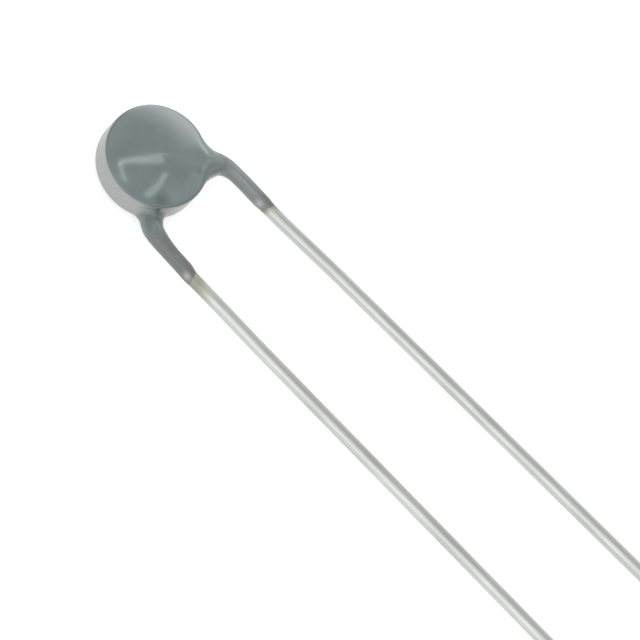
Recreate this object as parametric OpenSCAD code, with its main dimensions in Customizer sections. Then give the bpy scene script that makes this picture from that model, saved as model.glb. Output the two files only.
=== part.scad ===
// Radial-leaded disc thermistor, lying on a table with its front face up.
// A silvered ceramic disc has one tinned wire soldered to each face. Both wires
// leave the disc aslant, come to its middle plane and turn to run side by side.
// The disc and the first stretch of both wires are dipped in lacquer.
// The part is drawn round the middle of the disc, with the leads towards +X and
// the front face towards +Z, and is then laid down on z = 0.

/* [Ceramic disc] */
// Diameter of the sintered ceramic disc
ceramic_d = 3.9; // [3.3:0.1:4.2]
// Thickness of the ceramic disc
ceramic_t = 0.5; // [0.3:0.05:0.8]
// Bare ring of ceramic round each silver layer
silver_margin = 0.15; // [0.05:0.05:0.3]
// Thickness of each fired silver layer
silver_t = 0.02; // [0.01:0.01:0.05]

/* [Leads] */
// Diameter of the tinned copper wire
wire_d = 0.6; // [0.5:0.02:0.66]
// Distance between the two leads where they leave the lacquer
lead_pitch = 5; // [4.7:0.1:5.6]
// How far the disc sits off the middle of the pair, towards the front lead
lead_shift = 0.13; // [0:0.01:0.25]
// Distance along X from the disc's middle to the corner of each wire
corner_x = 2.13; // [1.9:0.01:2.6]
// Distance along X from the disc's middle to the lead tips
lead_reach = 34; // [20:1:45]
// How much nearer the rear lead is to the front one at its corner than at the lacquer's end
rear_corner_in = 0.06; // [0.06:0.01:0.15]
// Outward lean of each bare lead, in degrees
splay = 0.7; // [0.6:0.05:1.5]
// Radius of the wire's middle line in the bend at the corner
corner_bend_r = 1; // [0.7:0.05:1.1]
// Radius of the wire's middle line where it drops off the ceramic's face
drop_bend_r = 0.6; // [0.5:0.05:0.7]
// Radius of the wire's middle line where the bare lead leans outwards
splay_bend_r = 5; // [3:0.5:8]
// How far past the ceramic's edge the wire stays level
ledge = 0.25; // [0.22:0.01:0.3]
// How far the wire's inner end runs past the disc's middle
overrun = 0.9; // [0.6:0.05:1.1]
// Bevel that the cutter leaves round each wire end
tip_bevel = 0.06; // [0.02:0.01:0.12]

/* [Solder] */
// Width of the solder fillet across the wire
solder_w = 1.2; // [1.1:0.05:1.3]
// Height of the solder fillet above the silver
solder_h = 0.36; // [0.34:0.01:0.42]
// Radius of the hollow flank of the solder fillet
solder_flank_r = 0.32; // [0.31:0.01:0.34]
// Film of solder between the wire and the silver
solder_film = 0.02; // [0.01:0.01:0.04]
// Distance from the disc's middle to the outer end of the solder
solder_reach = 1.2; // [1:0.05:1.3]
// How far the solder reaches past the wire's inner end
solder_wrap = 0.45; // [0.3:0.05:0.55]

/* [Lacquer] */
// Lacquer on the ceramic's edge
side_coat_t = 0.37; // [0.25:0.01:0.5]
// Lacquer on each face of the ceramic, at the edge of the coated face
rim_coat_t = 0.44; // [0.36:0.005:0.5]
// Lacquer over the wire in the middle of each face
middle_coat_t = 0.12; // [0.08:0.01:0.3]
// Radius between each face and the side wall
rim_r = 0.1; // [0.08:0.01:0.2]
// Lacquer on the wires past the disc
leg_coat_t = 0.04; // [0.02:0.01:0.06]
// Distance along X from the corner to the lacquer's end on the front lead
front_coat_l = 2.6; // [1.6:0.05:4]
// Distance along X from the corner to the lacquer's end on the rear lead
rear_coat_l = 2.5; // [1.6:0.05:4]
// Length over which the lacquer thins out at its end
coat_taper_l = 0.35; // [0.2:0.05:0.6]
// Lacquer left at the very end of the taper
coat_end_t = 0.01; // [0.005:0.005:0.015]
// Radius of the lacquer web where a wire leaves the side wall
web_root_r = 0.58; // [0.45:0.01:0.6]
// Length of the lacquer web past the side wall
web_l = 0.7; // [0.5:0.05:0.8]
// How far the root of each web sits off the wire, towards the other lead
web_shift = 0.12; // [0.04:0.01:0.16]

/* [Hidden] */
$fn = 64;
// facets of the domes' section, whose radius is much larger than the disc's
dome_fn = 256;
// straight facets that stand for the arc of each small rounding
rim_facets = 3;
flank_facets = 4;
web_facets = 6;

front = 1;
rear = -1;
wire_r = wire_d / 2;
ceramic_r = ceramic_d / 2;

// heights above the disc's middle plane
silver_top = ceramic_t / 2 + silver_t;
wire_z = silver_top + solder_film + wire_r;
face_z = wire_z + wire_r + middle_coat_t;
rim_z = ceramic_t / 2 + rim_coat_t;

// the coated disc: a short side wall between two domes, rounded where they meet
body_r = ceramic_r + side_coat_t;
round_x = body_r - rim_r;
round_z = rim_z - rim_r;
dome_r = (pow(round_x, 2) + pow(face_z - round_z, 2) - pow(rim_r, 2))
    / (2 * (face_z - round_z - rim_r));
dome_z = face_z - dome_r;
dome_edge = dome_r * unit([round_x, round_z - dome_z]);
rim_turn = atan2(round_z - dome_z, round_x);

leg_r = wire_r + leg_coat_t;

// a bent wire is a touch thicker than a straight one
bend_swell = 0.002;
// how far each straight stretch of a wire reaches into its bends
bend_lap = 0.03;

// the lying part: it rests on the rear dome and on both lead tips, so it
// leans by the angle at which their lowest points are level
tip_x = lead_reach - tip_bevel;
tip_to_dome = [tip_x, dome_r - face_z + wire_r];
lie_tilt = asin(dome_r / norm(tip_to_dome)) - atan2(tip_to_dome.y, tip_to_dome.x);
lie_lift = dome_r + dome_z * cos(lie_tilt);
middle_x = (lead_reach - body_r) / 2;

function unit(v) = v / norm(v);

// the Y of a lead where it leaves the lacquer, and at its corner
function leg_y(side) = side * lead_pitch / 2 - lead_shift;
function corner_y(side) = leg_y(side) + (side == rear ? rear_corner_in : 0);

// the X at which the lacquer ends on a lead
function coat_end_x(side) = corner_x + (side == front ? front_coat_l : rear_coat_l);

// the direction in which a wire leaves the disc, seen from above
function out_of_disc(side) = unit([corner_x, corner_y(side), 0]);

// the corner points of a wire's middle line, from its inner end to its tip
function wire_route(side) = [
    -overrun * out_of_disc(side) + [0, 0, side * wire_z],
    (ceramic_r + ledge) * out_of_disc(side) + [0, 0, side * wire_z],
    [corner_x, corner_y(side), 0],
    [coat_end_x(side), leg_y(side), 0],
    [lead_reach, leg_y(side) + side * (lead_reach - coat_end_x(side)) * tan(splay), 0]
];
bend_radii = [0, drop_bend_r, corner_bend_r, splay_bend_r, 0];

// the turn at corner i of a route, and how far from the corner its bend starts
function turn(p, i) = acos(unit(p[i] - p[i - 1]) * unit(p[i + 1] - p[i]));
function setback(p, i) =
    i == 0 || i == len(p) - 1 ? 0 : bend_radii[i] * tan(turn(p, i) / 2);

// the two ends of the straight stretch from corner i - 1 to corner i
function straight_start(p, i) = p[i - 1] + setback(p, i - 1) * unit(p[i] - p[i - 1]);
function straight_end(p, i) = p[i] - setback(p, i) * unit(p[i] - p[i - 1]);

// moves the children so that their Z axis runs along z and their Y axis along y
module along(origin, z, y) {
    x = cross(y, z);
    multmatrix([
        [x.x, y.x, z.x, origin.x],
        [x.y, y.y, z.y, origin.y],
        [x.z, y.z, z.z, origin.z]
    ]) children();
}

// points on the arc round centre from angle a to angle b
function arc(centre, r, a, b, facets) = [
    for (i = [0:facets])
        centre + r * [cos(a + (b - a) * i / facets), sin(a + (b - a) * i / facets)]
];

// a unit vector at right angles to v
function beside(v) = unit(cross(v, abs(v.z) < 0.5 ? [0, 0, 1] : [1, 0, 0]));

// a straight round bar from a to b that narrows to end_r over its last taper_l
module rod(a, b, r, taper_l = 0, end_r = 0) {
    length = norm(b - a);
    along(a, unit(b - a), beside(unit(b - a)))
        if (taper_l == 0) cylinder(h = length, r = r);
        else rotate_extrude() polygon([
            [0, 0], [r, 0], [r, length - taper_l], [end_r, length], [0, length]
        ]);
}

// the bend at corner i: a piece of a ring that joins both straights squarely
module bend(p, i, thick_r) {
    ahead = unit(p[i] - p[i - 1]);
    axis = unit(cross(ahead, p[i + 1] - p[i]));
    centre = straight_end(p, i) - bend_radii[i] * cross(ahead, axis);
    along(centre, axis, ahead)
        rotate_extrude(angle = turn(p, i))
            translate([bend_radii[i], 0]) circle(thick_r + bend_swell);
}

// the straight stretch from corner i - 1 to corner i, which reaches a little
// into the bends at its ends
module straight(p, i, thick_r, taper_l = 0, end_r = 0) {
    ahead = unit(p[i] - p[i - 1]);
    rod(straight_start(p, i) - (i == 1 ? 0 : bend_lap) * ahead,
        straight_end(p, i) + (i == len(p) - 1 ? 0 : bend_lap) * ahead,
        thick_r, taper_l, end_r);
}

// a round bar along a route, narrowed to end_r over its last taper_l
module bar(p, thick_r, taper_l, end_r) {
    last = len(p) - 1;
    for (i = [1:last - 1]) {
        straight(p, i, thick_r);
        bend(p, i, thick_r);
    }
    straight(p, last, thick_r, taper_l, end_r);
}

// turns and lifts the finished part so that it lies on z = 0
module lay_down() {
    translate([-middle_x, lead_shift, lie_lift]) rotate([0, lie_tilt, 0]) children();
}

module ceramic_shape() {
    translate([0, 0, -ceramic_t / 2]) cylinder(h = ceramic_t, d = ceramic_d);
}

module electrode_shape(side) {
    translate([0, 0, side == front ? ceramic_t / 2 : -silver_top])
        cylinder(h = silver_t, d = ceramic_d - 2 * silver_margin);
}

// half of the fillet's section, with its hollow flank
module solder_half() {
    polygon(concat(
        [[0, 0], [solder_w / 2, 0]],
        arc([solder_w / 2, solder_h], solder_flank_r, 270, 180, flank_facets),
        [[0, solder_h]]));
}

// the fillet on the silver along +X, closed round the wire's inner end
module solder_fillet() {
    round_end_x = solder_w / 2 - overrun - solder_wrap;
    difference() {
        union() {
            rotate([90, 0, 90]) translate([0, 0, round_end_x])
                linear_extrude(solder_reach - round_end_x) {
                    solder_half();
                    mirror([1, 0]) solder_half();
                }
            translate([round_end_x, 0, 0]) rotate([0, 0, 90])
                rotate_extrude(angle = 180) solder_half();
        }
        translate([-overrun, 0, solder_film + wire_r]) rotate([0, 90, 0])
            cylinder(h = overrun + ceramic_r, r = wire_r);
    }
}

module wire_shape(side) {
    bar(wire_route(side), wire_r, tip_bevel, wire_r - tip_bevel);
}

module solder_shape(side) {
    rotate([0, 0, atan2(corner_y(side), corner_x)]) translate([0, 0, side * silver_top])
        mirror([0, 0, side == front ? 0 : 1]) solder_fillet();
}

// half of the coated disc's section
module body_half() {
    polygon(concat(
        [[0, 0], [body_r, 0]],
        arc([round_x, round_z], rim_r, 0, rim_turn, rim_facets),
        [[0, dome_edge.y + dome_z]]));
    intersection() {
        translate([0, dome_z]) circle(dome_r, $fn = dome_fn);
        square([dome_edge.x, face_z]);
    }
}

module body_shape() {
    rotate_extrude() intersection() {
        union() {
            body_half();
            mirror([0, 1]) body_half();
        }
        translate([0, -face_z]) square([body_r, 2 * face_z]);
    }
}

// the lacquer on a wire past the disc, thinned out at its end
module leg_shape(side) {
    route = wire_route(side);
    coat_end = straight_end(route, 3) - bend_lap * unit(route[3] - route[2]);
    bar([route[0], route[1], route[2], coat_end], leg_r, coat_taper_l, wire_r + coat_end_t);
}

// the web that the lacquer draws between the side wall and a wire
module web_shape(side) {
    route = wire_route(side);
    out = out_of_disc(side);
    web_z = straight_end(route, 2).z;
    to_other_lead = side * cross(out, [0, 0, 1]);
    root = ceramic_r * out + web_shift * to_other_lead + [0, 0, web_z];
    tip = (body_r + web_l) * out + [0, 0, web_z];
    length = norm(tip - root);
    spread = web_root_r - leg_r;
    hollow_r = (pow(web_l, 2) + pow(spread, 2)) / (2 * spread);
    hollow_turn = asin(web_l / hollow_r);
    along(root, unit(tip - root), [0, 0, 1])
        rotate_extrude() polygon(concat(
            [[0, 0], [web_root_r, 0]],
            arc([leg_r + hollow_r, length], hollow_r, 180 + hollow_turn, 180, web_facets),
            arc([0, length], leg_r, 90 / rim_facets, 90, rim_facets - 1)));
}

module coating() {
    color("#7a8584") lay_down() difference() {
        union() {
            body_shape();
            for (side = [front, rear]) {
                web_shape(side);
                leg_shape(side);
            }
        }
        ceramic_shape();
        for (side = [front, rear]) {
            electrode_shape(side);
            solder_shape(side);
            wire_shape(side);
        }
    }
}

module ceramic_disc() {
    color("#4b4a48") lay_down() ceramic_shape();
}

module front_electrode() {
    color("#d9dad6") lay_down() electrode_shape(front);
}

module rear_electrode() {
    color("#d9dad6") lay_down() electrode_shape(rear);
}

module front_solder() {
    color("#b9bbbd") lay_down() solder_shape(front);
}

module rear_solder() {
    color("#b9bbbd") lay_down() solder_shape(rear);
}

module front_lead() {
    color("#c4c5c0") lay_down() wire_shape(front);
}

module rear_lead() {
    color("#c4c5c0") lay_down() wire_shape(rear);
}

coating();
ceramic_disc();
front_electrode();
rear_electrode();
front_solder();
rear_solder();
front_lead();
rear_lead();
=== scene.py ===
import bpy
import numpy as np
from mathutils import Matrix


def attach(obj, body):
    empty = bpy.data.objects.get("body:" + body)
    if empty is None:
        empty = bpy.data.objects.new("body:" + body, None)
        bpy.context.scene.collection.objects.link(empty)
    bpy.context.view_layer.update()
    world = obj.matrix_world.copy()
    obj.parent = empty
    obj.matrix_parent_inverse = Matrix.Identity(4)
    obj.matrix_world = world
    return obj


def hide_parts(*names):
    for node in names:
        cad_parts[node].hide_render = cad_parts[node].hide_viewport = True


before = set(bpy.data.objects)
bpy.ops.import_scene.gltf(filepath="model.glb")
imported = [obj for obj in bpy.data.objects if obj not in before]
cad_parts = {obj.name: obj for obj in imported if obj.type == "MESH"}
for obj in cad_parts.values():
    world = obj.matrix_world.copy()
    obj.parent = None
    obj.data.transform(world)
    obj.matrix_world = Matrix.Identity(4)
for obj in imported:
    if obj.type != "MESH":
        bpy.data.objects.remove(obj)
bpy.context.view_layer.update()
print("stage: frame loaded,", len(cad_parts), "nodes")

# The part's own construction in mm, drawn round the middle of the disc with the
# leads towards +X and the front face towards +Z, as the CAD model is.
part = {
    "ceramicRadius": 1.95,
    "bodyRadius": 2.32,
    "faceHeight": 1.01,  # of the middle of each face over the disc's middle plane
    "rimHeight": 0.69,  # of the top of the rim's rounding
    "rimRadius": 0.1,
    "wireRadius": 0.3,
    "wireHeight": 0.59,  # of the wire's middle line over the disc's middle plane
    "leadPitch": 5.0,  # between the leads where they leave the coat
    "leadShift": 0.13,  # of the disc, off the middle of the pair
    "cornerX": 2.13,
    "rearCornerIn": 0.12,  # the solids have 0.06, which their collision pieces can follow
    "leadReach": 34.0,  # X of both tips
    "splay": 0.7,  # degrees by which each bare wire leans outwards
    "ledge": 0.25,  # how far each wire stays level past the ceramic's edge
    "overrun": 0.9,  # how far its inner end runs past the disc's middle
    "dropBend": 0.6,
    "cornerBend": 1.0,
    "splayBend": 5.0,
    "bendStations": 18,
    "tipBevel": 0.06,
    "legCoat": 0.04,  # thickness of the lacquer on the wires
    "coatLength": {"front": 2.6, "rear": 2.5},  # along X from the wire's corner
    "slack": 0.0018,  # how far the looks stay inside the solids
    # each wire, straightened by hand, lies further in near the coat's end: how far, the X
    # between which it goes there, and the X between which it comes back
    "waver": {"front": (0.046, 3.2, 5.0, 5.5, 9.0), "rear": (0.046, 1.9, 2.5, 5.5, 9.0)},
}
roundX = part["bodyRadius"] - part["rimRadius"]
roundZ = part["rimHeight"] - part["rimRadius"]
domeRadius = (roundX ** 2 + (part["faceHeight"] - roundZ) ** 2 - part["rimRadius"] ** 2) / (
    2 * (part["faceHeight"] - roundZ - part["rimRadius"]))
domeZ = part["faceHeight"] - domeRadius

# The part lies on its rear dome and on both lead tips, so it leans a little about Y.
tipX = part["leadReach"] - part["tipBevel"]
tipZ = domeRadius - part["faceHeight"] + part["wireRadius"]
lieTilt = np.arcsin(domeRadius / np.hypot(tipX, tipZ)) - np.arctan2(tipZ, tipX)
lieTurn = np.array([[np.cos(lieTilt), 0, np.sin(lieTilt)], [0, 1, 0],
                    [-np.sin(lieTilt), 0, np.cos(lieTilt)]])
lieMove = np.array([(part["bodyRadius"] - part["leadReach"]) / 2, part["leadShift"],
                    domeRadius + domeZ * np.cos(lieTilt)])


def layDown(points):
    # turns points of the part about Y by the lie tilt, moves them, and gives metres
    return (points @ lieTurn.T + lieMove) / 1000


def unit(vectors):
    # the same directions with length 1
    return vectors / np.linalg.norm(vectors, axis=-1, keepdims=True)


def ease(x, start, end):
    # goes smoothly from 0 at start to 1 at end: 3 t squared less 2 t cubed
    t = np.clip((x - start) / (end - start), 0, 1)
    return t * t * (3 - 2 * t)


def leadSign(side):
    # the front wire leaves the front face, towards +Z, and lies towards +Y
    return 1 if side == "front" else -1


def leadY(side):
    # half the pitch to the lead's own side, less the shift of the disc
    return leadSign(side) * part["leadPitch"] / 2 - part["leadShift"]


def cornerY(side):
    # the rear wire bends a little further in than the front one
    return leadY(side) + (part["rearCornerIn"] if side == "rear" else 0)


def coatEndX(side):
    # where the lacquer ends, on average round the wire
    return part["cornerX"] + part["coatLength"][side]


def leadCorners(side):
    # corners of the wire's middle line: inner end, edge of the ledge, corner in the
    # middle plane, end of the lacquer, tip
    out = unit(np.array([part["cornerX"], cornerY(side), 0]))
    level = np.array([0, 0, leadSign(side) * part["wireHeight"]])
    bare = part["leadReach"] - coatEndX(side)
    tipY = leadY(side) + leadSign(side) * bare * np.tan(np.radians(part["splay"]))
    return np.array([
        -part["overrun"] * out + level,
        (part["ceramicRadius"] + part["ledge"]) * out + level,
        [part["cornerX"], cornerY(side), 0],
        [coatEndX(side), leadY(side), 0],
        [part["leadReach"], tipY, 0],
    ])


def bentPath(corners, radii, spacing):
    # straight stretches joined by arcs: on an arc the point is the arc's start plus
    # radius times (sine of the angle along, one less its cosine inwards)
    ahead = unit(np.diff(corners, axis=0))
    turn = np.arccos(np.clip((ahead[:-1] * ahead[1:]).sum(1), -1, 1))
    setback = np.concatenate([[0], radii * np.tan(turn / 2), [0]])
    pieces = []
    for i, way in enumerate(ahead):
        start = corners[i] + setback[i] * way
        end = corners[i + 1] - setback[i + 1] * way
        count = int(np.ceil(np.linalg.norm(end - start) / spacing[i])) + 1
        pieces.append(start + np.linspace(0, 1, count)[:, None] * (end - start))
        if i < len(turn):
            inwards = unit(ahead[i + 1] - way * np.cos(turn[i]))
            angle = np.linspace(0, turn[i], part["bendStations"])[1:-1, None]
            pieces.append(end + radii[i] * (np.sin(angle) * way + (1 - np.cos(angle)) * inwards))
    points = np.concatenate(pieces)
    travel = np.concatenate([[0], np.cumsum(np.linalg.norm(np.diff(points, axis=0), axis=1))])
    return points, travel


def pathFrames(points):
    # along the path, level sideways, and square to both
    along = unit(np.gradient(points, axis=0))
    sideways = unit(np.cross([0.0, 0.0, 1.0], along))
    return along, sideways, np.cross(along, sideways)


def wirePath(side, corners, radii, spacing):
    # the bent path, moved towards the other lead by a smooth rise and fall along X
    points, travel = bentPath(corners, np.array(radii), spacing)
    amount, start, full, last, end = part["waver"][side]
    inset = amount * ease(points[:, 0], start, full) * (1 - ease(points[:, 0], last, end))
    return points - leadSign(side) * inset[:, None] * [0, 1, 0], travel


def tubeRows(points, radius, angles):
    # a profile carried along a path: centre plus radius times (cosine of the angle
    # sideways plus its sine upwards), one row of points for each station
    along, sideways, upwards = pathFrames(points)
    return points[:, None] + radius[..., None] * (
        np.cos(angles)[..., None] * sideways[:, None]
        + np.sin(angles)[..., None] * upwards[:, None])


def rowFaces(first, second):
    # quads between two rows of vertex numbers that close on themselves
    quads = [first, np.roll(first, -1, -1), np.roll(second, -1, -1), second]
    return np.stack(quads, -1).reshape(-1, 4)


def fanFaces(pole, ring):
    # triangles from a pole to each edge of a ring
    return np.stack([np.full_like(ring, pole), ring, np.roll(ring, -1)], -1)


def addObject(name, data):
    # puts a mesh, a lamp or a camera into the scene
    thing = bpy.data.objects.new(name, data)
    bpy.context.scene.collection.objects.link(thing)
    return thing


def setPose(thing, axes, place):
    # turns an object's X, Y and Z to the columns of axes, and moves it to a place in metres
    pose = np.eye(4)
    pose[:3, :3] = axes
    pose[:3, 3] = place
    thing.matrix_world = Matrix(pose.tolist())


def makeMesh(name, points, quads, triangles):
    # the vertices that no face uses are dropped
    corners = np.concatenate([quads.ravel(), triangles.ravel()])
    used, corners = np.unique(corners, return_inverse=True)
    sizes = np.concatenate([np.full(len(quads), 4), np.full(len(triangles), 3)])
    mesh = bpy.data.meshes.new(name)
    mesh.vertices.add(len(used))
    mesh.vertices.foreach_set("co", layDown(points[used]).ravel())
    mesh.loops.add(len(corners))
    mesh.loops.foreach_set("vertex_index", corners.ravel())
    mesh.polygons.add(len(sizes))
    mesh.polygons.foreach_set("loop_start", np.cumsum(sizes) - sizes)
    mesh.polygons.foreach_set("use_smooth", np.ones(len(sizes), bool))
    mesh.update(calc_edges=True)
    mesh.validate()
    return addObject(name, mesh), used


def addAttribute(piece, name, values):
    # one number for each vertex, which a material reads by name
    attribute = piece.data.attributes.new(name, "FLOAT", "POINT")
    attribute.data.foreach_set("value", values.astype(np.float32))


def addNode(tree, kind, inputs=None, **settings):
    # one node with its settings; an input is a value or another node's output
    node = tree.nodes.new(kind)
    for key, value in settings.items():
        setattr(node, key, value)
    for key, value in (inputs or {}).items():
        if isinstance(value, bpy.types.NodeSocket):
            tree.links.new(value, node.inputs[key])
        else:
            node.inputs[key].default_value = value
    return node


def colour(hexText):
    # sRGB hex to linear red, green and blue, with alpha 1
    value = np.array([int(hexText[i:i + 2], 16) for i in (1, 3, 5)]) / 255
    linear = np.where(value <= 0.04045, value / 12.92, ((value + 0.055) / 1.055) ** 2.4)
    return (*linear.tolist(), 1.0)


def emptyTree(owner):
    # the node tree of a material or a world, without the nodes that come with it
    owner.use_nodes = True
    owner.node_tree.nodes.clear()
    return owner.node_tree


def newMaterial(name):
    # a material with its shader, and the coordinates of the mesh in metres
    material = bpy.data.materials.new(name)
    tree = emptyTree(material)
    shader = addNode(tree, "ShaderNodeBsdfPrincipled")
    addNode(tree, "ShaderNodeOutputMaterial", {"Surface": shader.outputs["BSDF"]})
    place = addNode(tree, "ShaderNodeTexCoord").outputs["Object"]
    return material, tree, shader, place


# Camera.
# It looks from beside the rear lead, 61 degrees above the disc's face, with the
# leads running to the lower right. A long lens keeps the two leads from converging.
view = {
    "elevation": 61.0,
    "swing": 1.98,  # degrees between the leads and the picture's unforeshortened axis
    "roll": 46.8,  # degrees of that axis below the picture's horizontal
    "pictureSize": 640,  # pixels
    "pixelsPerMm": 24.0,
    "discPixel": (152.5, 161.5),
    "distance": 0.4,  # metres
    "sensor": 36.0,  # mm
    "clip": (0.01, 20.0),  # metres
}
swing, roll, rise = np.radians([view["swing"], view["roll"], view["elevation"]])
level = np.array([np.cos(swing), -np.sin(swing), 0])
across = np.array([np.sin(swing), np.cos(swing), 0])
upright = np.array([0, 0, 1.0])
towards = upright * np.sin(rise) - across * np.cos(rise)
raised = across * np.sin(rise) + upright * np.cos(rise)
right = level * np.cos(roll) + raised * np.sin(roll)
up = raised * np.cos(roll) - level * np.sin(roll)
offset = (view["pictureSize"] / 2 - np.array(view["discPixel"])) / view["pixelsPerMm"]
aim = layDown(offset[0] * right - offset[1] * up)
cameraAxes = lieTurn @ np.stack([right, up, towards], 1)
pictureWidth = view["pictureSize"] / view["pixelsPerMm"] / 1000

camera = addObject("camera", bpy.data.cameras.new("camera"))
camera.data.sensor_width = view["sensor"]
camera.data.lens = view["sensor"] * view["distance"] / pictureWidth
camera.data.clip_start, camera.data.clip_end = view["clip"]
setPose(camera, cameraAxes, aim + view["distance"] * cameraAxes[:, 2])
bpy.context.scene.camera = camera
print("stage: camera")

# Leads.
leads = {
    "around": 64,
    "spacing": (0.1, 0.1, 0.12, 0.25),  # mm between stations on each straight stretch
    # the tip's bevel: share of its length that is left, and share of its depth that is taken
    "bevel": ((1.0, 0.0), (0.65, 0.12), (0.3, 0.4), (0.02, 1.0)),
    "sharpFrom": 50.0,  # degrees between two faces that leave a sharp edge
    # lacquer film on the wire past the coat's end: its mean length, how much longer it
    # is on one side and where that is in degrees round the wire, and how dark it is
    "film": {"front": (0.4, 0.95, 25.0, 0.75), "rear": (1.3, 0.3, 200.0, 0.62)},
    "filmFrom": 0.2,  # share of its length from which it fades
}


def makeLead(side):
    # a round bar carried along the wire's middle line; both ends close on a pole. The
    # film's length is its mean times one plus its lean times the cosine of the angle.
    points = wirePath(side, leadCorners(side), (
        part["dropBend"], part["cornerBend"], part["splayBend"]), leads["spacing"])[0]
    angles = np.linspace(0, 2 * np.pi, leads["around"], endpoint=False)
    radius = part["wireRadius"] - part["slack"]
    left, taken = part["tipBevel"] * np.array(leads["bevel"]).T
    tip = points[-1]
    way = unit(tip - points[-2])
    radii = np.concatenate([np.full(len(points) - 1, radius), radius - taken])
    points = np.concatenate([points[:-1], tip - way * left[:, None]])
    rows = tubeRows(points, radii[:, None], angles)
    last = rows.shape[0] * rows.shape[1]
    number = np.arange(last).reshape(rows.shape[:2])
    allPoints = np.concatenate([rows.reshape(-1, 3), points[:1], tip[None]])
    quads = rowFaces(number[:-1], number[1:])
    triangles = np.concatenate([
        fanFaces(last, number[0])[:, ::-1], fanFaces(last + 1, number[-1])])
    piece, used = makeMesh(side + "_lead_wire", allPoints, quads, triangles)
    piece.data.set_sharp_from_angle(angle=np.radians(leads["sharpFrom"]))
    length, lean, leanAngle, dark = leads["film"][side]
    turned = np.concatenate([np.tile(angles, len(rows)), [0, 0]]) - np.radians(leanAngle)
    past = (allPoints[:, 0] - coatEndX(side)) / (length * (1 + lean * np.cos(turned)))
    film = dark * (1 - ease(past, leads["filmFrom"], 1))
    addAttribute(piece, "lacquerFilm", film[used])
    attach(piece, "root")
    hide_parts(side + "_lead")
    return piece


leadPieces = [makeLead(side) for side in ("front", "rear")]
print("stage: leads,", [len(piece.data.polygons) for piece in leadPieces], "faces")

# Lacquer coat.
# One skin over the disc and the first stretch of both wires. It is the surface on
# which a smooth union of the disc and the two coated wires is zero.
coat = {
    # the disc's grid: rows lie closer towards the dome's edge by a power of their share
    "columns": 288,
    "domeRows": 30,
    "domePower": 0.85,
    "rimRows": 8,
    "wallRows": 20,
    "poleShare": 0.9985,  # of the face's height, which keeps the poles inside the solids
    # over each wire: how much less the dome curves, in 1/mm, how much rounder the rim
    # is, in mm, and the degrees to either side over which both fade
    "flatter": {"front": 0.09, "rear": 0.08},
    "shoulder": {"front": 0.5, "rear": 0.25},
    "bellWidth": {"front": 24.0, "rear": 20.0},
    # the hole in the grid for each web: degrees to either side, the radius that it
    # reaches in to on the wire's own face, and how far it goes down past the middle
    "holeHalfAngle": 23.0,
    "holeFaceRadius": 1.72,
    "holeWallHeight": 0.4,
    # the web: its rows, how far inside the wall its stations start, how far past its
    # reach they end, and the share of the rows by which it has closed round the wire
    "webRows": 40,
    "webInside": 0.1,
    "webPast": 0.05,
    "webCloses": 0.6,
    "webExtra": {"front": 0.28, "rear": 0.165},  # more lacquer round the wire by the disc
    "webInwards": {"front": 0.5, "rear": 0.6},  # share of it that sits towards the other lead
    "webReach": {"front": (2.2, 3.8), "rear": (2.1, 4.3)},  # from the middle, where it runs out
    "innerEnd": 0.8,  # distance from the disc's middle at which the wire's ridge starts
    "ridgeSpacing": 0.06,
    # the coated wire: how far the coat sits off it, inwards, the distances from the
    # middle over which it moves there and the last mm over which it comes back, and how
    # much thicker than usual the coat is
    "legShift": {"front": 0.0, "rear": 0.035},
    "legShiftFrom": (2.6, 3.4),
    "legShiftBack": 0.6,
    "legExtra": {"front": 0.0, "rear": 0.01},
    "legSpacing": 0.08,
    # reach of the smooth union: the least, over the disc's middle and at its edge, with
    # the distances from the middle between which it grows
    "blendLeast": 0.05,
    "blendInside": 0.05,
    "blendRim": {"front": 0.6, "rear": 0.32},
    "blendFrom": (0.9, 2.2),
    # the coat's end: the mm over which it thins, the edge that is left there, its rows,
    # how far it leans and where in degrees round the wire, the mm over which the lean
    # grows and over which the lacquer looks thin, and the share of the radius at which
    # its last ring lies hidden in the wire
    "endLength": 0.5,
    "endEdge": 0.002,
    "endRows": 12,
    "endLean": {"front": (0.16, 45.0), "rear": (0.1, 200.0)},
    "endLeanLength": 1.0,
    "endThinLength": 0.35,
    "endRing": 0.8,
    # the wall painted paler, a painted sheen for the light that it catches: how far inside
    # its radius it starts and is full, and how far from each coated wire
    "wallFrom": (0.045, 0.01),
    "wallClear": {"front": (0.15, 0.5), "rear": (0.03, 0.2)},
    "neck": (1.95, 2.45, 3.1, 4.1),  # distances from the middle between which it is duller
    # painted shade on the wall where the rear wire comes out under it: its middle and half
    # width across, and how far inside the wall's radius it starts; a painted dark reflection
    # on the face: X, Y, half width; and the dark colour that both are painted
    "paintedRootShade": (0.14, 0.2, 0.1),
    "paintedDarkReflection": (1.37, -1.5, 0.42),
    "paintedDarkColour": "#5d6867",
    # X between which the coat takes on a greyer colour on the wires, the front one's painted
    # lighter than the rear one's as painted light, and Y between which the rear one's gives
    # way to the front one's
    "legFrom": (1.6, 2.5),
    "legSides": (-0.6, 0.6),
    "legColour": {"front": "#757c7c", "rear": "#666c6a"},
    # a thin olive side, and a grey spot that is a painted highlight on the coat's rounded end,
    # near each end: angle round the wire, half width in degrees, middle and half width before
    # the end in mm
    "oliveEnd": {"front": (62.0, 45.0, 0.1, 0.45), "rear": (75.0, 40.0, 0.0, 0.25)},
    "oliveColour": "#63645a",
    "greyEnd": {"front": (143.0, 26.0, 0.33, 0.18), "rear": (140.0, 26.0, 0.2, 0.2)},
    "greyColour": "#a3a5a5",
    "spotsFrom": 3.0,  # X from which these spots may lie
}


def leadOut(side):
    # the direction in which a wire leaves the disc, seen from above
    return unit(np.array([part["cornerX"], cornerY(side), 0]))


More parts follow.
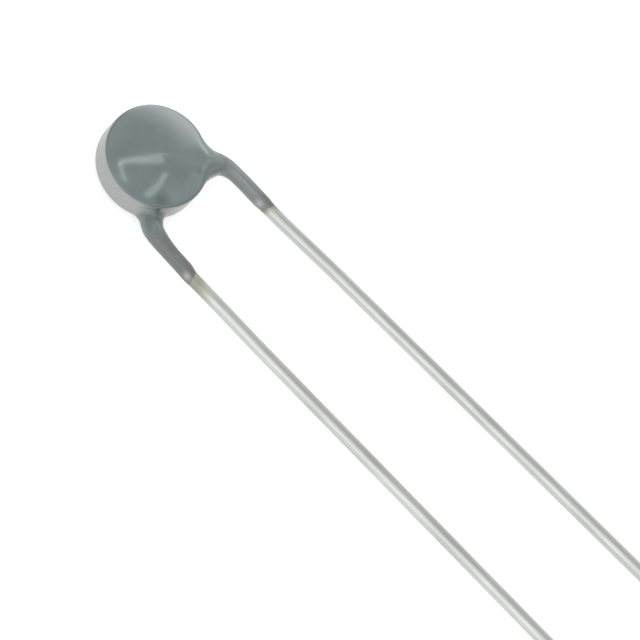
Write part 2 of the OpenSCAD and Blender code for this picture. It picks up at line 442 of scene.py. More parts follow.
def bodyField(points):
    # distance outside the coated disc, and the way in which it grows: how far outside
    # the shrunk dome and the shrunk wall, joined by the root of the sum of squares,
    # less the rim's radius. Over each wire the dome is flatter and the rim rounder, by
    # a bell curve of the angle from the wire's direction.
    rho = np.hypot(points[:, 0], points[:, 1])
    onRear = points[:, 2] < 0

    def bySide(values):
        return np.where(onRear, values["rear"], values["front"])

    out = np.where(onRear[:, None], leadOut("rear"), leadOut("front"))
    cosine = (points * out * [1, 1, 0]).sum(1) / np.maximum(rho, 1e-6)
    bell = np.exp(2 * (cosine - 1) / np.radians(bySide(coat["bellWidth"])) ** 2)
    swell = np.minimum(rho, roundX) ** 2 / 2 * bySide(coat["flatter"]) * bell
    rimRadius = part["rimRadius"] + bySide(coat["shoulder"]) * bell
    fromDome = points - np.where(onRear, -1.0, 1.0)[:, None] * [0, 0, domeZ]
    dome = np.linalg.norm(fromDome, axis=1) - (domeRadius - rimRadius) - swell
    wall = rho - (part["bodyRadius"] - rimRadius)
    outside = np.hypot(np.maximum(dome, 0), np.maximum(wall, 0))
    field = np.minimum(np.maximum(dome, wall), 0) + outside - rimRadius + part["slack"]
    safe = np.maximum(outside, 1e-9)
    domeShare = np.where(outside > 0, np.maximum(dome, 0) / safe, dome > wall)
    wallShare = np.where(outside > 0, np.maximum(wall, 0) / safe, dome <= wall)
    fromAxis = points * [1, 1, 0] / np.maximum(rho, 1e-6)[:, None]
    return field, domeShare[:, None] * unit(fromDome) + wallShare[:, None] * fromAxis


def coatBar(side):
    # middle line and radius of the coated wire: the extra lacquer by the disc makes it
    # thicker and moves its middle towards the disc's middle plane and the other lead
    points, travel = wirePath(side, leadCorners(side)[:4], (
        part["dropBend"], part["cornerBend"]), [coat["ridgeSpacing"]] * 3)
    kept = points @ leadOut(side) > coat["innerEnd"]
    points, travel = points[kept], travel[kept]
    sideways, upwards = pathFrames(points)[1:]
    rho = np.hypot(points[:, 0], points[:, 1])
    extra = coat["webExtra"][side] * (1 - ease(rho, *coat["webReach"][side]))
    shift = coat["legShift"][side] * ease(rho, *coat["legShiftFrom"]) * (
        1 - ease(travel, travel[-1] - coat["legShiftBack"], travel[-1]))
    inwards = coat["webInwards"][side] * extra + shift
    points = points - leadSign(side) * (inwards[:, None] * sideways + extra[:, None] * upwards)
    radius = part["wireRadius"] + part["legCoat"] + coat["legExtra"][side] + extra
    return {"points": points, "travel": travel, "radius": radius,
            "along": pathFrames(points)[0], "slope": np.gradient(radius, travel)}


coatBars = {side: coatBar(side) for side in ("front", "rear")}


def barField(points, bar, play=0.04):
    # distance from the nearest station's tangent, less the radius that the coated wire
    # has there, and the way in which it grows; past the play at both ends it is round
    path = bar["points"]
    gap = (points ** 2).sum(1)[:, None] - 2 * points @ path.T + (path ** 2).sum(1)
    nearest = gap.argmin(1)
    along = bar["along"][nearest]
    away = points - path[nearest]
    ahead = np.clip((away * along).sum(1), -play, play)
    radius = bar["radius"][nearest] + bar["slope"][nearest] * ahead
    away = away - ahead[:, None] * along
    length = np.linalg.norm(away, axis=1)
    return length - radius, away / np.maximum(length, 1e-9)[:, None]


def skinField(points):
    # the smooth union is the lesser of two distances, less a quarter of the reach where
    # they are equal; the reach is shorter where both surfaces face the same way
    rho = np.hypot(points[:, 0], points[:, 1])
    field, way = bodyField(points)
    for side, bar in coatBars.items():
        gap, barWay = barField(points, bar)
        agree = np.clip((way * barWay).sum(1), 0, 1)
        rim, inside = coat["blendRim"][side], coat["blendInside"]
        reach = inside + (rim - inside) * ease(rho, *coat["blendFrom"])
        reach = coat["blendLeast"] + reach * np.sqrt(1 - agree ** 2)
        share = np.clip(0.5 + 0.5 * (field - gap) / reach, 0, 1)
        field = field * (1 - share) + gap * share - reach * share * (1 - share)
    return field


def pullToSkin(points, rounds=8, step=1e-4, flattest=0.2):
    # Newton's rule: each point goes along the field's slope by the field over the slope
    for _ in range(rounds):
        here = skinField(points)
        slope = np.stack([skinField(points + step * axis) - here for axis in np.eye(3)], 1) / step
        points = points - slope * (here / np.maximum((slope ** 2).sum(1), flattest))[:, None]
    return points


def discGrid():
    # a profile of rear dome, rim, wall, rim and front dome, turned about Z
    edgeAngle = np.arctan2(roundX, roundZ - domeZ)
    domeAngle = edgeAngle * np.linspace(0, 1, coat["domeRows"] + 1)[1:] ** coat["domePower"]
    rimAngle = np.linspace(edgeAngle, np.pi / 2, coat["rimRows"] + 1)[1:]
    half = np.concatenate([
        np.stack([domeRadius * np.sin(domeAngle), domeZ + domeRadius * np.cos(domeAngle)], 1),
        np.stack([roundX + part["rimRadius"] * np.sin(rimAngle),
                  roundZ + part["rimRadius"] * np.cos(rimAngle)], 1)])
    wallZ = np.linspace(-roundZ, roundZ, coat["wallRows"] + 1)[1:-1]
    wall = np.stack([np.full(len(wallZ), part["bodyRadius"]), wallZ], 1)
    profile = np.concatenate([half * [1, -1], wall, half[::-1]])
    turn = np.arange(coat["columns"]) * 2 * np.pi / coat["columns"]
    grid = np.stack([np.outer(profile[:, 0], np.cos(turn)),
                     np.outer(profile[:, 0], np.sin(turn)),
                     np.outer(profile[:, 1], np.ones(len(turn)))], -1)
    return grid, profile


def blockEdge(side, number, profile):
    # the block of the disc's grid that is left out where a wire comes through: its
    # rows and columns, and its edge as one loop seen anticlockwise from outside
    columns = number.shape[1]
    perColumn = 2 * np.pi / columns
    half = int(round(np.radians(coat["holeHalfAngle"]) / perColumn))
    middle = int(round(np.arctan2(cornerY(side), part["cornerX"]) / perColumn))
    block = np.arange(middle - half, middle + half + 1) % columns
    height = profile[:, 1] * leadSign(side)
    onFace = (profile[:, 0] < coat["holeFaceRadius"]) & (height > 0)
    inside = np.flatnonzero(~onFace & (height > -coat["holeWallHeight"]))
    low, high = inside[0], inside[-1]
    loop = np.concatenate([number[low, block[:-1]], number[low:high, block[-1]],
                           number[high, block[:0:-1]], number[high:low:-1, block[0]]])
    return slice(low, high), block[:-1], loop


def webAndLeg(side, start):
    # the web runs from each point of the hole's edge to the coated wire at that
    # point's own angle; past it the coat is a tube whose radius falls by the square of
    # the share of its end, and a last ring closes it inside the wire
    bar = coatBars[side]
    stations, travel = bar["points"], bar["travel"]
    way, sideways, upwards = pathFrames(stations)
    rho = np.hypot(stations[:, 0], stations[:, 1])
    root = np.argmax(rho > part["bodyRadius"] - coat["webInside"])
    webEnd = np.argmax(rho > coat["webReach"][side][1] + coat["webPast"])
    away = start - stations[root]
    angle = np.unwrap(np.arctan2(away @ upwards[root], away @ sideways[root]))
    count = len(start)
    even = angle.mean() + (np.arange(count) - (count - 1) / 2) * 2 * np.pi / count

    def centres(at):
        return np.stack([np.interp(at, travel, stations[:, i]) for i in range(3)], 1)

    share = np.linspace(0, 1, coat["webRows"] + 1)[1:, None]
    webAt = travel[root] + (travel[webEnd] - travel[root]) * share[:, 0]
    webAngle = angle + (even - angle) * ease(share, 0, 1)
    webRadius = np.interp(webAt, travel, bar["radius"])[:, None]
    around = tubeRows(centres(webAt), webRadius, webAngle)
    web = start + (around - start) * ease(share, 0, coat["webCloses"])[..., None]

    end, endLength = travel[-1], coat["endLength"]
    endStart = end - endLength
    legCount = int((endStart - webAt[-1]) / coat["legSpacing"])
    endShare = np.sin(np.linspace(0, np.pi / 2, coat["endRows"]))[1:]
    legAt = np.concatenate([np.linspace(webAt[-1], endStart, legCount)[1:],
                            end - endLength * (1 - endShare)])
    past = np.clip((legAt - endStart) / endLength, 0, 1)
    legCoat = part["legCoat"] + coat["legExtra"][side] - coat["endEdge"]
    legRadii = part["wireRadius"] + coat["endEdge"] + legCoat * (1 - past ** 2)
    leg = tubeRows(centres(legAt), legRadii[:, None], even)
    lean, leanAngle = coat["endLean"][side]
    slide = lean * np.cos(even - np.radians(leanAngle)) * ease(
        legAt, end - coat["endLeanLength"], end)[:, None]
    leg = leg + slide[..., None] * way[-1]
    tip = centres(legAt[-1:])
    ring = tip + (leg[-1:] - tip) * coat["endRing"]
    thin = np.concatenate([np.zeros(len(web)), ease(legAt, end - coat["endThinLength"], end), [1]])
    return np.concatenate([web, leg, ring]), tip, thin


def coatColours(points, rho, onWall):
    # the colour of the coat on the wires, the front one's painted lighter than the rear one's,
    # of the painted shade at the rear wire's root, of the painted dark reflection on the face,
    # and of the thin olive side and the painted highlight near each end, with its weight as
    # alpha. A patch or a spot is the exponential of minus the squared distances from its
    # middle in half widths.
    frontLeg, rearLeg, deep = [np.array(colour(name)) for name in (
        coat["legColour"]["front"], coat["legColour"]["rear"], coat["paintedDarkColour"])]
    onLeg = ease(points[:, 0], *coat["legFrom"]) * (1 - onWall)
    onFront = ease(points[:, 1], *coat["legSides"])[:, None]
    tint = deep + onLeg[:, None] * (rearLeg + onFront * (frontLeg - rearLeg) - deep)
    # painted shade: the wall painted darker where the rear wire comes out under it
    shadeMiddle, shadeWidth, shadeInside = coat["paintedRootShade"]
    out = leadOut("rear")
    aside = (points @ [-out[1], out[0], 0] - shadeMiddle) / shadeWidth
    onRootShade = ((points @ out > 0) & (rho > part["bodyRadius"] - shadeInside)
              & (points[:, 2] < roundZ))
    # a painted dark reflection: the face painted darker where its gloss mirrors the dark opening
    # overhead
    patchX, patchY, patchWidth = coat["paintedDarkReflection"]
    patch = np.exp(-((points[:, 0] - patchX) ** 2 + (points[:, 1] - patchY) ** 2)
                   / patchWidth ** 2) * (points[:, 2] > 0)
    tint[:, 3] = np.maximum(onLeg, np.maximum(patch, np.exp(-aside ** 2) * onRootShade))
    for side, bar in coatBars.items():
        middleY, middleZ = [np.interp(points[:, 0], bar["points"][:, 0], bar["points"][:, i])
                            for i in (1, 2)]
        around = np.degrees(np.arctan2(points[:, 2] - middleZ, points[:, 1] - middleY))
        onSide = (points[:, 0] > coat["spotsFrom"]) & (points[:, 1] * leadSign(side) > 0)
        # olive is the thin lacquer's own colour; grey is a painted highlight on the rounded end
        for name in ("olive", "grey"):
            angle, half, before, length = coat[name + "End"][side]
            turned = ((around - angle + 180) % 360 - 180) / half
            ahead = (coatEndX(side) - before - points[:, 0]) / length
            spot = np.exp(-turned ** 2 - ahead ** 2) * onSide
            spotColour = np.array(colour(coat[name + "Colour"]))[:3]
            tint[:, :3] += spot[:, None] * (spotColour - tint[:, :3])
    return tint


def makeCoat():
    # the disc's grid with a hole for each wire, a web and a tube sewn into each hole, and
    # all of it but the tubes pulled to the skin
    disc, profile = discGrid()
    rows, columns = disc.shape[:2]
    number = np.arange(rows * columns).reshape(rows, columns)
    lowPole, highPole = rows * columns, rows * columns + 1
    total = highPole + 1
    poleZ = part["faceHeight"] * coat["poleShare"]
    points = [disc.reshape(-1, 3), [[0, 0, -poleZ], [0, 0, poleZ]]]
    pulled = [np.ones(total, bool)]
    thin = [np.zeros(total)]
    discQuads = rowFaces(number[:-1], number[1:]).reshape(rows - 1, columns, 4)
    keep = np.ones(discQuads.shape[:2], bool)
    quads = []
    triangles = [fanFaces(lowPole, number[0])[:, ::-1], fanFaces(highPole, number[-1])]
    for side in ("front", "rear"):
        blockRows, blockColumns, loop = blockEdge(side, number, profile)
        keep[blockRows, blockColumns] = False
        grid, tip, gridThin = webAndLeg(side, disc.reshape(-1, 3)[loop])
        gridSize = grid.shape[0] * grid.shape[1]
        gridNumber = total + np.arange(gridSize).reshape(grid.shape[:2])
        quads += [rowFaces(loop, gridNumber[0]), rowFaces(gridNumber[:-1], gridNumber[1:])]
        triangles.append(fanFaces(total + gridSize, gridNumber[-1]))
        points += [grid.reshape(-1, 3), tip]
        pulled.append(np.arange(gridSize + 1) < coat["webRows"] * len(loop))
        thin += [np.repeat(gridThin, len(loop)), [1]]
        total += gridSize + 1
    points = np.concatenate(points)
    pulled = np.concatenate(pulled)
    points[pulled] = pullToSkin(points[pulled])
    quads = np.concatenate([discQuads[keep]] + quads)
    piece, used = makeMesh("lacquer_coat", points, quads, np.concatenate(triangles))

    rho = np.hypot(points[:, 0], points[:, 1])
    # the wall: painted paler there as painted sheen for the light it catches, and made duller
    onWall = ease(rho, *(part["bodyRadius"] - np.array(coat["wallFrom"])))
    for side, bar in coatBars.items():
        onWall = onWall * ease(barField(points, bar)[0], *coat["wallClear"][side])
    onNeck = ease(rho, *coat["neck"][:2]) * (1 - ease(rho, *coat["neck"][2:]))
    addAttribute(piece, "thinLacquer", np.concatenate(thin)[used])
    addAttribute(piece, "wallPaintedSheenAndDull", onWall[used])
    addAttribute(piece, "neckLacquer", onNeck[used])
    tint = piece.data.attributes.new("tintAndPaintedLight", "FLOAT_COLOR", "POINT")
    tint.data.foreach_set("color", coatColours(points, rho, onWall)[used].ravel())
    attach(piece, "root")
    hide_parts("coating")
    return piece


coatPiece = makeCoat()
print("stage: lacquer coat,", len(coatPiece.data.polygons), "faces")

# Materials.
# Of a Mix node's inputs, 6 and 7 are its two colours, and 2 and 3 its two numbers.


def lacquerMaterial():
    # Dip-coated epoxy lacquer, filled and pigmented grey-green. It cures glossy over a
    # slightly uneven skin, so reflections are clear but soft and waver a little. On the
    # wall it is duller and painted paler, a painted sheen for the light that the wall
    # catches; it is dull too where it draws in round each wire, and at its ends it thins
    # to an olive film.
    finish = {
        # the wall colour is a painted sheen: the wall painted paler for the light that it catches
        "deep": "#667170", "pale": "#6c7a77", "wall": "#939695", "thin": "#6f6f62",
        "driftMm": 1.4, "grainMm": 0.09, "swellMm": 0.8, "peelMm": 0.16,
        "swellHeightMm": 0.015, "peelHeightMm": 0.001,
        "spread": (0.35, 0.65),  # part of the drift that goes from deep to pale
        "speck": (0.96, 1.04),  # brightness of the grains
        "thinShare": 0.35,
        "glossy": (0.1, 0.16), "dull": 0.3,  # roughness
        "bumpStrength": 0.5,
        "ior": 1.56,
    }
    material, tree, shader, place = newMaterial("dip_lacquered_epoxy")
    drift = addNode(tree, "ShaderNodeTexNoise", {
        "Vector": place, "Scale": 1000 / finish["driftMm"], "Detail": 2.0, "Roughness": 0.5})
    grain = addNode(tree, "ShaderNodeTexNoise", {
        "Vector": place, "Scale": 1000 / finish["grainMm"], "Detail": 1.0})
    spread = addNode(tree, "ShaderNodeMapRange", {
        "Value": drift.outputs["Fac"], "From Min": finish["spread"][0],
        "From Max": finish["spread"][1]})
    body = addNode(tree, "ShaderNodeMix", {
        "Factor": spread.outputs["Result"], 6: colour(finish["deep"]),
        7: colour(finish["pale"])}, data_type="RGBA")
    # painted sheen: the wall painted paler for the light it catches; the same mask makes it duller
    wall = addNode(tree, "ShaderNodeAttribute", attribute_name="wallPaintedSheenAndDull")
    onWall = addNode(tree, "ShaderNodeMix", {
        "Factor": wall.outputs["Fac"], 6: body.outputs[2],
        7: colour(finish["wall"])}, data_type="RGBA")
    # the wires' coat colours and olive ends, with painted shade, a painted dark reflection and
    # painted highlights
    tint = addNode(tree, "ShaderNodeAttribute", attribute_name="tintAndPaintedLight")
    tinted = addNode(tree, "ShaderNodeMix", {
        "Factor": tint.outputs["Alpha"], 6: onWall.outputs[2],
        7: tint.outputs["Color"]}, data_type="RGBA")
    thin = addNode(tree, "ShaderNodeAttribute", attribute_name="thinLacquer")
    weak = addNode(tree, "ShaderNodeMath", {
        0: thin.outputs["Fac"], 1: finish["thinShare"]}, operation="MULTIPLY")
    ends = addNode(tree, "ShaderNodeMix", {
        "Factor": weak.outputs[0], 6: tinted.outputs[2],
        7: colour(finish["thin"])}, data_type="RGBA")
    speck = addNode(tree, "ShaderNodeMapRange", {
        "Value": grain.outputs["Fac"], "To Min": finish["speck"][0],
        "To Max": finish["speck"][1]})
    shade = addNode(tree, "ShaderNodeVectorMath", {
        0: ends.outputs[2], "Scale": speck.outputs["Result"]}, operation="SCALE")
    tree.links.new(shade.outputs[0], shader.inputs["Base Color"])
    gloss = addNode(tree, "ShaderNodeMapRange", {
        "Value": drift.outputs["Fac"], "To Min": finish["glossy"][0],
        "To Max": finish["glossy"][1]})
    neck = addNode(tree, "ShaderNodeAttribute", attribute_name="neckLacquer")
    dull = addNode(tree, "ShaderNodeMath", {
        0: wall.outputs["Fac"], 1: neck.outputs["Fac"]}, operation="MAXIMUM")
    dulled = addNode(tree, "ShaderNodeMix", {
        0: dull.outputs[0], 2: gloss.outputs["Result"], 3: finish["dull"]})
    tree.links.new(dulled.outputs[0], shader.inputs["Roughness"])
    swell = addNode(tree, "ShaderNodeTexNoise", {
        "Vector": place, "Scale": 1000 / finish["swellMm"], "Detail": 0.0})
    peel = addNode(tree, "ShaderNodeTexNoise", {
        "Vector": place, "Scale": 1000 / finish["peelMm"], "Detail": 1.0})
    first = addNode(tree, "ShaderNodeBump", {
        "Height": swell.outputs["Fac"], "Distance": finish["swellHeightMm"] / 1000,
        "Strength": finish["bumpStrength"]})
    second = addNode(tree, "ShaderNodeBump", {
        "Height": peel.outputs["Fac"], "Distance": finish["peelHeightMm"] / 1000,
        "Strength": finish["bumpStrength"], "Normal": first.outputs["Normal"]})
    tree.links.new(second.outputs["Normal"], shader.inputs["Normal"])
    shader.inputs["IOR"].default_value = finish["ior"]
    return material


def tinMaterial():
    # Copper wire, drawn and hot-dipped in tin: a satin metal with fine lengthwise
    # streaks from the die and slow lumps where the tin froze. Next to the coat a dull
    # film of lacquer lies on it, beige where it is thin and olive where it is thick.
    finish = {
        "bright": "#c7c9c7", "dull": "#b5b7b4", "film": "#a9aa9e", "thickFilm": "#67665a",
        "streakMm": 0.05, "lumpMm": 0.9, "streakHeightMm": 0.0015, "lumpHeightMm": 0.03,
        "streakAlong": 0.03, "lumpAlong": 0.35,  # scale along the wire, as a share of across
        "spread": (0.12, 0.4),  # part of the pattern that goes from dull to bright
        "filmHalf": 0.5,  # weight at which the thin film is full and the thick one starts
        "satin": (0.27, 0.36), "filmed": 0.55,  # roughness
        "bumpStrength": 0.4,
    }
    material, tree, shader, place = newMaterial("tinned_copper_wire")
    stretch = addNode(tree, "ShaderNodeMapping", {
        "Vector": place, "Scale": (finish["streakAlong"], 1, 1)})
    streak = addNode(tree, "ShaderNodeTexNoise", {
        "Vector": stretch.outputs["Vector"], "Scale": 1000 / finish["streakMm"], "Detail": 2.0})
    longer = addNode(tree, "ShaderNodeMapping", {
        "Vector": place, "Scale": (finish["lumpAlong"], 1, 1)})
    lump = addNode(tree, "ShaderNodeTexNoise", {
        "Vector": longer.outputs["Vector"], "Scale": 1000 / finish["lumpMm"], "Detail": 1.0})
    blend = addNode(tree, "ShaderNodeMath", {
        0: streak.outputs["Fac"], 1: lump.outputs["Fac"]}, operation="MULTIPLY")
    spread = addNode(tree, "ShaderNodeMapRange", {
        "Value": blend.outputs["Value"], "From Min": finish["spread"][0],
        "From Max": finish["spread"][1]})
    body = addNode(tree, "ShaderNodeMix", {
        "Factor": spread.outputs["Result"], 6: colour(finish["dull"]),
        7: colour(finish["bright"])}, data_type="RGBA")
    film = addNode(tree, "ShaderNodeAttribute", attribute_name="lacquerFilm")
    someFilm = addNode(tree, "ShaderNodeMapRange", {
        "Value": film.outputs["Fac"], "From Max": finish["filmHalf"]})
    muchFilm = addNode(tree, "ShaderNodeMapRange", {
        "Value": film.outputs["Fac"], "From Min": finish["filmHalf"]})
    filmed = addNode(tree, "ShaderNodeMix", {
        "Factor": someFilm.outputs["Result"], 6: body.outputs[2],
        7: colour(finish["film"])}, data_type="RGBA")
    thick = addNode(tree, "ShaderNodeMix", {
        "Factor": muchFilm.outputs["Result"], 6: filmed.outputs[2],
        7: colour(finish["thickFilm"])}, data_type="RGBA")
    tree.links.new(thick.outputs[2], shader.inputs["Base Color"])
    satin = addNode(tree, "ShaderNodeMapRange", {
        "Value": lump.outputs["Fac"], "To Min": finish["satin"][0],
        "To Max": finish["satin"][1]})
    dulled = addNode(tree, "ShaderNodeMix", {
        0: someFilm.outputs["Result"], 2: satin.outputs["Result"], 3: finish["filmed"]})
    tree.links.new(dulled.outputs[0], shader.inputs["Roughness"])
    wave = addNode(tree, "ShaderNodeBump", {
        "Height": lump.outputs["Fac"], "Distance": finish["lumpHeightMm"] / 1000,
        "Strength": finish["bumpStrength"]})
    draw = addNode(tree, "ShaderNodeBump", {
        "Height": streak.outputs["Fac"], "Distance": finish["streakHeightMm"] / 1000,
        "Strength": finish["bumpStrength"], "Normal": wave.outputs["Normal"]})
    tree.links.new(draw.outputs["Normal"], shader.inputs["Normal"])
    shader.inputs["Metallic"].default_value = 1.0
    return material


def grainMaterial(name, finish, roughnessPlay=0.06, bumpStrength=0.6):
    # one colour broken by grains and clouds of real sizes, half by each, with bumps on
    # the grains and a roughness that the clouds change a little
    material, tree, shader, place = newMaterial(name)
    grain = addNode(tree, "ShaderNodeTexVoronoi", {
        "Vector": place, "Scale": 1000 / finish["grainMm"]})
    cloud = addNode(tree, "ShaderNodeTexNoise", {
        "Vector": place, "Scale": 1000 / finish["cloudMm"], "Detail": 3.0})
    blend = addNode(tree, "ShaderNodeMix", {
        0: 0.5, 2: grain.outputs["Distance"], 3: cloud.outputs["Fac"]})
    body = addNode(tree, "ShaderNodeMix", {
        "Factor": blend.outputs[0], 6: colour(finish["dark"]),
        7: colour(finish["light"])}, data_type="RGBA")
    tree.links.new(body.outputs[2], shader.inputs["Base Color"])
    rough = addNode(tree, "ShaderNodeMapRange", {
        "Value": cloud.outputs["Fac"], "To Min": finish["roughness"] - roughnessPlay,
        "To Max": finish["roughness"] + roughnessPlay})
    tree.links.new(rough.outputs["Result"], shader.inputs["Roughness"])
    bump = addNode(tree, "ShaderNodeBump", {
        "Height": grain.outputs["Distance"], "Distance": finish["bumpMm"] / 1000,
        "Strength": bumpStrength})
    tree.links.new(bump.outputs["Normal"], shader.inputs["Normal"])
    shader.inputs["Metallic"].default_value = finish["metallic"]
    return material


lacquer = lacquerMaterial()
tin = tinMaterial()
# Sintered metal-oxide ceramic: a matt charcoal body with pressed grains.
ceramic = grainMaterial("sintered_oxide_ceramic", {
    "dark": "#2b2a29", "light": "#4f4d4a", "grainMm": 0.06, "cloudMm": 0.5, "roughness": 0.75,
    "bumpMm": 0.004, "metallic": 0.0})
# Screen-printed and fired silver: a pale, matt, slightly porous metal film.
silver = grainMaterial("fired_silver_paste", {
    "dark": "#bdbdb6", "light": "#e2e2dc", "grainMm": 0.05, "cloudMm": 0.4, "roughness": 0.55,
    "bumpMm": 0.003, "metallic": 1.0})
# Tin solder that froze slowly: a satin metal with a faint frosting.
solder = grainMaterial("frozen_tin_solder", {
    "dark": "#9fa1a3", "light": "#c9cbcc", "grainMm": 0.11, "cloudMm": 0.3, "roughness": 0.35,
    "bumpMm": 0.003, "metallic": 1.0})
coatPiece.data.materials.append(lacquer)
for piece in leadPieces:
    piece.data.materials.append(tin)
nodeFinish = {"coating": lacquer, "front_lead": tin, "rear_lead": tin, "ceramic_disc": ceramic,
              "front_electrode": silver, "rear_electrode": silver, "front_solder": solder,
              "rear_solder": solder}
for name, finish in nodeFinish.items():
    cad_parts[name].data.materials.clear()
    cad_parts[name].data.materials.append(finish)
print("stage: materials")

# Floor and light.
studio = {
    "floorSize": 6.0,  # metres
    "floorDrop": 1e-5,  # metres below the part
    "floorGlow": 0.62,
    "floorColour": "#c9c9c7",
    "floorRoughness": 0.9,
    # brightness of the ceiling by angle, from 0 at the near edge of the floor, over the
    # top at 0.5, to 1 at the far edge
    "ceiling": ((0.0, 1.1), (0.067, 1.28), (0.16, 1.55), (0.25, 1.6), (0.34, 1.35),
                (0.43, 1.05), (0.52, 0.8), (0.61, 0.7), (0.71, 0.72), (0.83, 0.85),
                (0.97, 1.05)),
    # its brightness towards both ends, by the X of the direction, and the X between
    # which that takes over
    "ends": ((0.0, 1.5), (0.45, 1.5), (0.55, 1.3), (0.7, 0.5), (1.0, 0.42)),
    "endsFrom": (0.27, 0.43),
    "opening": (0.389, 0.13, 0.912),  # direction of the dark hole that the camera looks through
    "openingAngles": (4.0, 6.0),  # degrees from its middle to its black part and to its rim
    # the card behind the disc, in mm: where it stands, its glow from dark to bright to
    # dark across it, its glow by height as a share of its height, and that height
    "cardY": 8.0,
    "cardAcross": (-14.0, -7.0, 1.0, 4.5),
    "cardUp": ((0.08, 0.0), (0.24, 2.4), (0.34, 3.9), (0.38, 3.9), (0.433, 3.2), (0.5, 2.35),
               (0.567, 1.6), (0.633, 1.1), (0.7, 0.7), (0.767, 0.43), (0.85, 0.2),
               (0.98, 0.0)),
    "cardHeight": 12.0,
    # the frame of a lit window close over the disc, seen as a soft triangle in the
    # lacquer: its corners in mm, and each bar's two corners, width and brightness
    "frameCorners": {
        "left": (-3.55, -0.5, 11.4), "top": (-0.5, 3.4, 11.3), "joint": (0.6, 5.2, 10.7),
        "far": (2.45, 3.85, 10.9), "bend": (3.12, 0.82, 11.4), "right": (3.08, -1.2, 11.5),
        "near": (-0.78, -1.91, 11.7)},
    "frameBars": {
        "frame_bar": ("left", "top", 0.95, 3.9), "frame_joint": ("top", "joint", 1.5, 3.0),
        "frame_edge": ("left", "near", 0.6, 4.0), "frame_slant_far": ("far", "bend", 0.9, 3.2),
        "frame_slant_near": ("bend", "right", 1.1, 3.2)},
    "frameTint": "#f0fffb",
}


def makeSheet(name, corners, material):
    # one flat face, from its four corners in metres
    mesh = bpy.data.meshes.new(name)
    mesh.from_pydata(corners, [], [(0, 1, 2, 3)])
    mesh.materials.append(material)
    return addObject(name, mesh)


def makeFloor():
    # a plain pale table that glows a little, as a lit table for small parts does
    half, z = studio["floorSize"] / 2, -studio["floorDrop"]
    material, _, shader, _ = newMaterial("pale_table")
    shader.inputs["Base Color"].default_value = colour(studio["floorColour"])
    shader.inputs["Roughness"].default_value = studio["floorRoughness"]
    shader.inputs["Emission Color"].default_value = (1, 1, 1, 1)
    shader.inputs["Emission Strength"].default_value = studio["floorGlow"]
    floor = makeSheet("floor", [
        (-half, -half, z), (half, -half, z), (half, half, z), (-half, half, z)], material)


def glowRamp(tree, place, levels):
    # brightness by place along a smooth curve, as a share of the brightest level
    brightest = max(level for spot, level in levels)
    ramp = addNode(tree, "ShaderNodeValToRGB", {"Fac": place})
    stops = ramp.color_ramp.elements
    while len(stops) < len(levels):
        stops.new(0.5)
    for stop, (spot, level) in zip(stops, levels):
        stop.position = spot
        stop.color = (level / brightest,) * 3 + (1,)
    ramp.color_ramp.interpolation = "CARDINAL"
    return ramp.outputs["Color"], brightest


def makeCeiling():
    # a soft ceiling of light whose brightness changes with the angle about the leads'
    # direction: the angle is the arctangent of z over minus y, as a share of pi
    world = bpy.data.worlds.new("studio")
    bpy.context.scene.world = world
    tree = emptyTree(world)
    place = addNode(tree, "ShaderNodeTexCoord").outputs["Generated"]
    split = addNode(tree, "ShaderNodeSeparateXYZ", {0: place})
    near = addNode(tree, "ShaderNodeMath", {0: split.outputs["Y"], 1: -1.0}, operation="MULTIPLY")
    angle = addNode(tree, "ShaderNodeMath", {
        0: split.outputs["Z"], 1: near.outputs[0]}, operation="ARCTAN2")
    share = addNode(tree, "ShaderNodeMath", {0: angle.outputs[0], 1: np.pi}, operation="DIVIDE")
    ramp, brightest = glowRamp(tree, share.outputs[0], studio["ceiling"])
    aside = addNode(tree, "ShaderNodeMath", {0: split.outputs["X"]}, operation="ABSOLUTE")
    toEnds = addNode(tree, "ShaderNodeMapRange", {
        "Value": aside.outputs[0], "From Min": studio["endsFrom"][0],
        "From Max": studio["endsFrom"][1]}, interpolation_type="SMOOTHSTEP")
    ends, brightestEnd = glowRamp(tree, aside.outputs[0], studio["ends"])
    ends = addNode(tree, "ShaderNodeVectorMath", {
        0: ends, "Scale": brightestEnd / brightest}, operation="SCALE")
    blend = addNode(tree, "ShaderNodeMix", {
        "Factor": toEnds.outputs["Result"], 6: ramp, 7: ends.outputs[0]}, data_type="RGBA")
    facing = addNode(tree, "ShaderNodeVectorMath", {
        0: place, 1: tuple(unit(np.array(studio["opening"])))}, operation="DOT_PRODUCT")
    black, rim = np.cos(np.radians(studio["openingAngles"]))
    inOpening = addNode(tree, "ShaderNodeMapRange", {
        "Value": facing.outputs["Value"], "From Min": rim, "From Max": black},
        interpolation_type="SMOOTHSTEP")
    total = addNode(tree, "ShaderNodeMix", {
        "Factor": inOpening.outputs["Result"], 6: blend.outputs[2], 7: (0, 0, 0, 1)},
        data_type="RGBA")
    background = addNode(tree, "ShaderNodeBackground", {
        "Color": total.outputs[2], "Strength": brightest})
    addNode(tree, "ShaderNodeOutputWorld", {"Surface": background.outputs["Background"]})


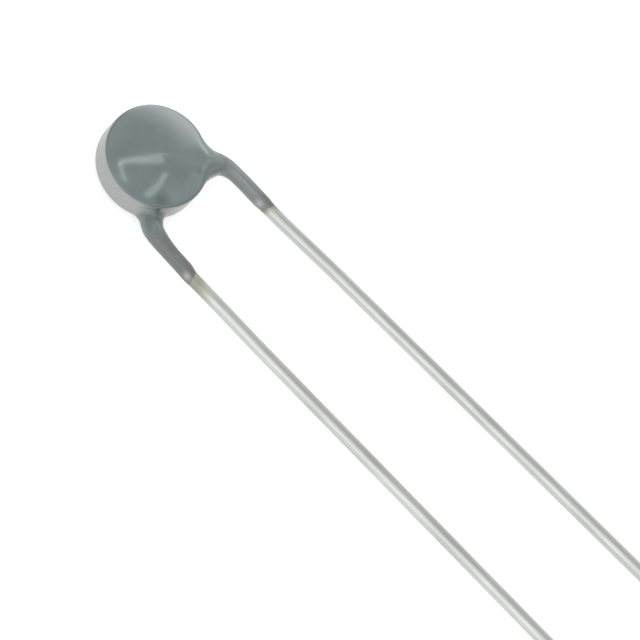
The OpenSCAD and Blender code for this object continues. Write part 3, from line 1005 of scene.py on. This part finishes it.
def frameLamp(name, start, end, width, brightness):
    # a rectangle between two corners of the frame that faces the disc; its power is its
    # brightness times pi times its area
    start, end = np.array([studio["frameCorners"][start], studio["frameCorners"][end]])
    lamp = bpy.data.lights.new(name, "AREA")
    lamp.shape = "RECTANGLE"
    lamp.size, lamp.size_y = width / 1000, np.linalg.norm(end - start) / 1000
    lamp.energy = brightness * np.pi * lamp.size * lamp.size_y
    lamp.color = colour(studio["frameTint"])[:3]
    light = addObject(name, lamp)
    light.visible_camera = False
    back = unit(start + end)
    side = unit(np.cross(end - start, back))
    axes = np.stack([side, np.cross(back, side), back], 1)
    setPose(light, lieTurn @ axes, layDown((start + end) / 2))


def makeCard():
    # a sheet of pale glow that stands close behind the disc and is seen only in the gloss,
    # added to what is behind it: smooth rise and fall across it times a curve up it
    across = np.array(studio["cardAcross"]) / 1000
    y, height = studio["cardY"] / 1000, studio["cardHeight"] / 1000
    material = bpy.data.materials.new("pale_card")
    tree = emptyTree(material)
    place = addNode(tree, "ShaderNodeTexCoord").outputs["Object"]
    split = addNode(tree, "ShaderNodeSeparateXYZ", {0: place})
    share = addNode(tree, "ShaderNodeMath", {
        0: split.outputs["Z"], 1: height}, operation="DIVIDE")
    glow, brightest = glowRamp(tree, share.outputs[0], studio["cardUp"])
    fades = [brightest]
    for dark, bright in (across[:2], across[:1:-1]):
        fades.append(addNode(tree, "ShaderNodeMapRange", {
            "Value": split.outputs["X"], "From Min": dark, "From Max": bright},
            interpolation_type="SMOOTHSTEP").outputs["Result"])
    for fade in fades:
        glow = addNode(tree, "ShaderNodeMath", {0: glow, 1: fade}, operation="MULTIPLY").outputs[0]
    shine = addNode(tree, "ShaderNodeEmission", {"Strength": glow})
    behind = addNode(tree, "ShaderNodeBsdfTransparent")
    both = addNode(tree, "ShaderNodeAddShader", {0: shine.outputs[0], 1: behind.outputs[0]})
    addNode(tree, "ShaderNodeOutputMaterial", {"Surface": both.outputs[0]})
    start, end = across[[0, 3]]
    card = makeSheet("rear_card", [
        (start, y, 0), (end, y, 0), (end, y, height), (start, y, height)], material)
    setPose(card, lieTurn, lieMove / 1000)
    card.visible_camera = card.visible_diffuse = card.visible_shadow = False


makeFloor()
makeCeiling()
makeCard()
for name, bar in studio["frameBars"].items():
    frameLamp(name, *bar)
bpy.context.scene.view_settings.view_transform = "Standard"
print("stage: floor and light")
